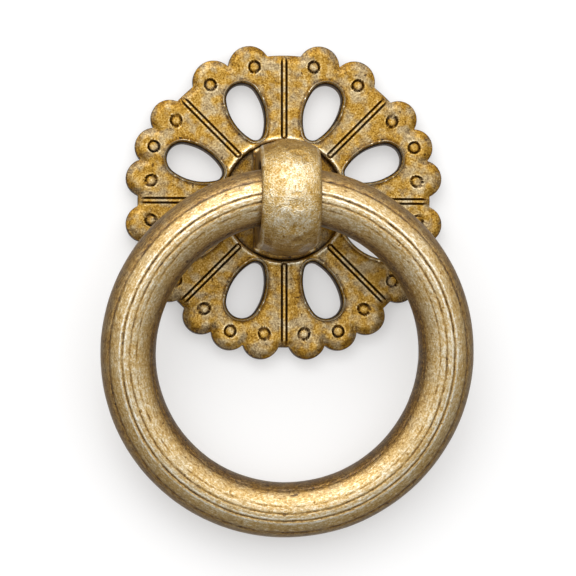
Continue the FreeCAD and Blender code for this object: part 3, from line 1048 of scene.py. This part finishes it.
# Tone, from dark to pale, and the colour of the brass there
BRASS_COLOURS = (
    (0.0, (0.030, 0.014, 0.004)),
    (0.2, (0.140, 0.067, 0.012)),
    (0.4, (0.305, 0.172, 0.037)),
    (0.6, (0.490, 0.322, 0.110)),
    (0.8, (0.690, 0.580, 0.385)),
    (1.0, (0.880, 0.835, 0.725)),
)


def aged_brass_group():
    group = bpy.data.node_groups.new("aged_brass", "ShaderNodeTree")
    socket(group, "Place", "NodeSocketVector", "INPUT")
    socket(group, "Grain Place", "NodeSocketVector", "INPUT")
    socket(group, "Patina And Shade", "NodeSocketFloat", "INPUT", 0.0)
    socket(group, "Rub And Sheen", "NodeSocketFloat", "INPUT", 0.0)
    socket(group, "Tone", "NodeSocketFloat", "INPUT", 0.5)
    socket(group, "Blotch Strength", "NodeSocketFloat", "INPUT", 0.5)
    socket(group, "Grain Strength", "NodeSocketFloat", "INPUT", 0.3)
    socket(group, "Grey Strength", "NodeSocketFloat", "INPUT", 0.3)
    socket(group, "Saturation", "NodeSocketFloat", "INPUT", 1.0)
    socket(group, "Colour", "NodeSocketColor", "OUTPUT")
    socket(group, "Roughness", "NodeSocketFloat", "OUTPUT")
    socket(group, "Metal", "NodeSocketFloat", "OUTPUT")
    socket(group, "Height", "NodeSocketFloat", "OUTPUT")
    into = group.nodes.new("NodeGroupInput")
    out = group.nodes.new("NodeGroupOutput")
    place, grain_place = into.outputs["Place"], into.outputs["Grain Place"]
    blotch = speckle(group, place, 900.0, 3.0, 0.6)
    cloud = speckle(group, place, 190.0, 2.0, 0.5)
    grain = speckle(group, grain_place, 4500.0, 3.0, 0.6)
    specks = speckle(group, place, 5200.0, 1.0, 0.5)
    pits = speckle(group, place, 1500.0, 0.0, 0.4)
    grey = speckle(group, place, 520.0, 2.0, 0.55)

    pit = spread(group, pits, 0.17, 0.22, 0.25, 0.0)
    blotch_off, cloud_off, grain_off, speck_off = (
        maths(group, "SUBTRACT", noise_value, 0.5) for noise_value in (blotch, cloud, grain, specks)
    )
    tone = maths(group, "MULTIPLY_ADD", blotch_off, into.outputs["Blotch Strength"], into.outputs["Tone"])
    tone = maths(group, "MULTIPLY_ADD", cloud_off, CLOUD_STRENGTH, tone)
    fine = maths(group, "MULTIPLY_ADD", speck_off, SPECK_STRENGTH, grain_off)
    tone = maths(group, "MULTIPLY_ADD", fine, into.outputs["Grain Strength"], tone)
    tone = maths(group, "MULTIPLY_ADD", into.outputs["Rub And Sheen"], RUB_AND_SHEEN_GAIN, tone)
    tone = maths(group, "MULTIPLY_ADD", into.outputs["Patina And Shade"], -PATINA_AND_SHADE_LOSS, tone)
    tone = maths(group, "SUBTRACT", tone, pit)

    ramp = group.nodes.new("ShaderNodeValToRGB")
    ends = ramp.color_ramp.elements
    ends[0].color = BRASS_COLOURS[0][1] + (1,)
    ends[1].color = BRASS_COLOURS[-1][1] + (1,)
    for position, colour in BRASS_COLOURS[1:-1]:
        ends.new(position).color = colour + (1,)
    group.links.new(tone, ramp.inputs["Fac"])
    greyed = group.nodes.new("ShaderNodeHueSaturation")
    grey_mask = spread(group, grey, 0.45, 0.62, 0.0, 1.0)
    amount = maths(group, "MULTIPLY", grey_mask, into.outputs["Grey Strength"])
    group.links.new(maths(group, "MULTIPLY_ADD", amount, GREY_HUE_SHIFT, 0.5), greyed.inputs["Hue"])
    kept_colour = maths(group, "SUBTRACT", into.outputs["Saturation"], amount)
    group.links.new(kept_colour, greyed.inputs["Saturation"])
    group.links.new(ramp.outputs["Color"], greyed.inputs["Color"])
    group.links.new(greyed.outputs["Color"], out.inputs["Colour"])

    group.links.new(spread(group, tone, 0.15, 0.9, 0.60, 0.32), out.inputs["Roughness"])
    group.links.new(spread(group, tone, 0.05, 0.4, 0.93, 1.0), out.inputs["Metal"])
    height = maths(group, "MULTIPLY_ADD", fine, 0.8, maths(group, "MULTIPLY", blotch, 0.8))
    group.links.new(maths(group, "SUBTRACT", height, pit), out.inputs["Height"])
    return group


aged_brass = aged_brass_group()

# %% [markdown]
# Each piece gets its own material from the group. The ring's grain follows the way it was turned, so it
# reads the stretched coordinates stored on its mesh. The post and the rosette read plain object
# coordinates. Such hardware is lacquered after rubbing, so a clear coat lies over the brass, and its paler
# shine tops the highlights.

# %% The three materials
LACQUER_ROUGHNESS = 0.3
BUMP_DEPTH = 0.06 * MILLIMETRE


def brass_material(name, piece, tone, blotch, grain, grey, saturation, bump, lacquer, grain_attribute=None):
    material = bpy.data.materials.new(name)
    material.use_nodes = True
    nodes, links = material.node_tree.nodes, material.node_tree.links
    shader = nodes["Principled BSDF"]
    place = nodes.new("ShaderNodeTexCoord")
    brass = nodes.new("ShaderNodeGroup")
    brass.node_tree = aged_brass
    brass.inputs["Tone"].default_value = tone
    brass.inputs["Blotch Strength"].default_value = blotch
    brass.inputs["Grain Strength"].default_value = grain
    brass.inputs["Grey Strength"].default_value = grey
    brass.inputs["Saturation"].default_value = saturation
    links.new(place.outputs["Object"], brass.inputs["Place"])
    if grain_attribute:
        way = nodes.new("ShaderNodeAttribute")
        way.attribute_name = grain_attribute
        links.new(way.outputs["Vector"], brass.inputs["Grain Place"])
    else:
        links.new(place.outputs["Object"], brass.inputs["Grain Place"])
    for attribute, target in (("grime_and_shade", "Patina And Shade"), ("wear_and_sheen", "Rub And Sheen")):
        stored = nodes.new("ShaderNodeAttribute")
        stored.attribute_name = attribute
        links.new(stored.outputs["Fac"], brass.inputs[target])
    links.new(brass.outputs["Colour"], shader.inputs["Base Color"])
    links.new(brass.outputs["Roughness"], shader.inputs["Roughness"])
    links.new(brass.outputs["Metal"], shader.inputs["Metallic"])
    shader.inputs["Coat Weight"].default_value = lacquer
    shader.inputs["Coat Roughness"].default_value = LACQUER_ROUGHNESS
    relief_node = nodes.new("ShaderNodeBump")
    relief_node.inputs["Strength"].default_value = 1.0
    relief_node.inputs["Distance"].default_value = BUMP_DEPTH * bump
    links.new(brass.outputs["Height"], relief_node.inputs["Height"])
    links.new(relief_node.outputs["Normal"], shader.inputs["Normal"])
    piece.data.materials.clear()
    piece.data.materials.append(material)


brass_material(
    "ring_brass", ring, tone=0.53, blotch=0.2, grain=0.85, grey=0.12, saturation=0.99, bump=1.0,
    lacquer=0.5, grain_attribute="turned",
)
brass_material(
    "post_brass", post, tone=0.64, blotch=0.7, grain=0.8, grey=0.05, saturation=1.06, bump=2.6, lacquer=0.35,
)
brass_material(
    "rosette_brass", plate, tone=0.52, blotch=0.5, grain=0.8, grey=0.34, saturation=1.08, bump=0.8,
    lacquer=0.15,
)

# %% [markdown]
# ## The stage
#
# In the photograph the pull lies on its back on white paper. Seen along the drawer's normal, the paper is a
# plain white wall just behind the rosette. It glows a little, which keeps its shadows soft. It is only
# scenery, so it is declared as stage. Brass is a mirror, so what it reflects matters more than what shines
# on it. The paper therefore shows only to the camera and to shadows, and the brass sees a studio that is
# bright above the lens and dim below, which gives the ring its broad, soft highlight. One lamp adds the key
# light.

# %% The paper and the light
PAPER_TONE, PAPER_GLOW = 0.48, 0.39
PAPER_BEHIND = 0.0003
bm = bmesh.new()
bmesh.ops.create_grid(bm, x_segments=1, y_segments=1, size=1.5)
bmesh.ops.rotate(bm, cent=(0, 0, 0), matrix=Matrix.Rotation(math.radians(90), 3, "X"), verts=bm.verts)
bmesh.ops.translate(bm, vec=(0, PAPER_BEHIND, 0), verts=bm.verts)
paper_mesh = bpy.data.meshes.new("paper")
bm.to_mesh(paper_mesh)
bm.free()
paper = bpy.data.objects.new("paper", paper_mesh)
bpy.context.scene.collection.objects.link(paper)
paper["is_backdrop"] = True


def paper_material():
    material = bpy.data.materials.new("white_paper")
    material.use_nodes = True
    nodes, links = material.node_tree.nodes, material.node_tree.links
    shader = nodes["Principled BSDF"]
    shader.inputs["Base Color"].default_value = (PAPER_TONE, PAPER_TONE, PAPER_TONE, 1)
    shader.inputs["Roughness"].default_value = 0.9
    shader.inputs["Specular IOR Level"].default_value = 0.0
    shader.inputs["Emission Color"].default_value = (1, 0.99, 0.985, 1)
    shader.inputs["Emission Strength"].default_value = PAPER_GLOW
    clear = nodes.new("ShaderNodeBsdfTransparent")
    behind = nodes.new("ShaderNodeNewGeometry")
    ray = nodes.new("ShaderNodeLightPath")
    choose = nodes.new("ShaderNodeMixShader")
    direct = maths(material.node_tree, "MAXIMUM", ray.outputs["Is Camera Ray"], ray.outputs["Is Shadow Ray"])
    front = maths(material.node_tree, "SUBTRACT", 1.0, behind.outputs["Backfacing"])
    links.new(maths(material.node_tree, "MULTIPLY", direct, front), choose.inputs["Fac"])
    links.new(clear.outputs["BSDF"], choose.inputs[1])
    links.new(shader.outputs["BSDF"], choose.inputs[2])
    links.new(choose.outputs["Shader"], nodes["Material Output"].inputs["Surface"])
    return material


paper.data.materials.append(paper_material())


def soft_box(name, place, size, power, aim=(0, -0.01, -0.01)):
    data = bpy.data.lights.new(name, "AREA")
    data.shape = "RECTANGLE"
    data.size, data.size_y = size
    data.energy = power
    light = bpy.data.objects.new(name, data)
    light.location = place
    light.rotation_euler = (Vector(aim) - Vector(place)).to_track_quat("-Z", "Y").to_euler()
    bpy.context.scene.collection.objects.link(light)


soft_box("key", (-0.17, -0.53, 0.51), (0.50, 0.40), 1.5)

BRIGHT_WAY = Vector((-0.08, -0.785, 0.615)).normalized()
# Closeness of a direction to the brightest one, from -1 to 1, and the brightness there
STUDIO = ((-1.0, 0.46), (-0.2, 0.48), (0.2, 0.56), (0.5, 1.0), (0.8, 1.7), (1.0, 2.1))
STUDIO_WIDENED = 0.62


def studio_world():
    """A room that is brightest in one direction and dims away from it, less so sideways than up and down."""
    world = bpy.data.worlds.new("studio")
    world.use_nodes = True
    tree = world.node_tree
    background = tree.nodes["Background"]
    way = tree.nodes.new("ShaderNodeTexCoord")
    towards = tree.nodes.new("ShaderNodeVectorMath")
    towards.operation = "DOT_PRODUCT"
    towards.inputs[1].default_value = BRIGHT_WAY
    flatter = tree.nodes.new("ShaderNodeVectorMath")
    flatter.operation = "MULTIPLY"
    flatter.inputs[1].default_value = (STUDIO_WIDENED, 1, 1)
    evened = tree.nodes.new("ShaderNodeVectorMath")
    evened.operation = "NORMALIZE"
    tree.links.new(way.outputs["Generated"], flatter.inputs[0])
    tree.links.new(flatter.outputs["Vector"], evened.inputs[0])
    tree.links.new(evened.outputs["Vector"], towards.inputs[0])
    ramp = tree.nodes.new("ShaderNodeValToRGB")
    stops = ramp.color_ramp.elements
    most = STUDIO[-1][1]
    stops[0].color = (STUDIO[0][1] / most,) * 3 + (1,)
    for closeness, brightness in STUDIO[1:-1]:
        stops.new((closeness + 1) / 2).color = (brightness / most,) * 3 + (1,)
    tree.links.new(spread(tree, towards.outputs["Value"], -1.0, 1.0, 0.0, 1.0), ramp.inputs["Fac"])
    ray = tree.nodes.new("ShaderNodeLightPath")
    plain = tree.nodes.new("ShaderNodeMixRGB")
    plain.inputs["Color2"].default_value = (0.45, 0.45, 0.45, 1)
    tree.links.new(ray.outputs["Is Camera Ray"], plain.inputs["Fac"])
    tree.links.new(ramp.outputs["Color"], plain.inputs["Color1"])
    tree.links.new(plain.outputs["Color"], background.inputs["Color"])
    background.inputs["Strength"].default_value = most
    return world


bpy.context.scene.world = studio_world()

# %% [markdown]
# The camera stands far off with a long lens, as for a catalogue picture, slightly to the left of the pull's
# axis and slightly below it. It is aimed at the middle of the pull.

# %% The camera
VIEW_LEFT = math.radians(4.0)
VIEW_BELOW = math.radians(3.5)
DISTANCE = 0.9
MARGIN = 1.16
low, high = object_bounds()
middle = (low + high) / 2
camera_data = bpy.data.cameras.new("camera")
camera_data.sensor_width = 36.0
camera = bpy.data.objects.new("camera", camera_data)
away = Vector((-math.sin(VIEW_LEFT), -1, -math.sin(VIEW_BELOW))).normalized()
camera.location = middle + away * DISTANCE
camera.rotation_euler = (middle - camera.location).to_track_quat("-Z", "Y").to_euler()
seen = (high.z - low.z) * MARGIN
camera_data.lens = camera_data.sensor_width * DISTANCE / seen
camera_data.clip_start = 0.01
bpy.context.scene.collection.objects.link(camera)
bpy.context.scene.camera = camera
bpy.context.scene.view_settings.view_transform = "Standard"
print("lens", round(camera_data.lens, 1), "mm at", DISTANCE, "m")
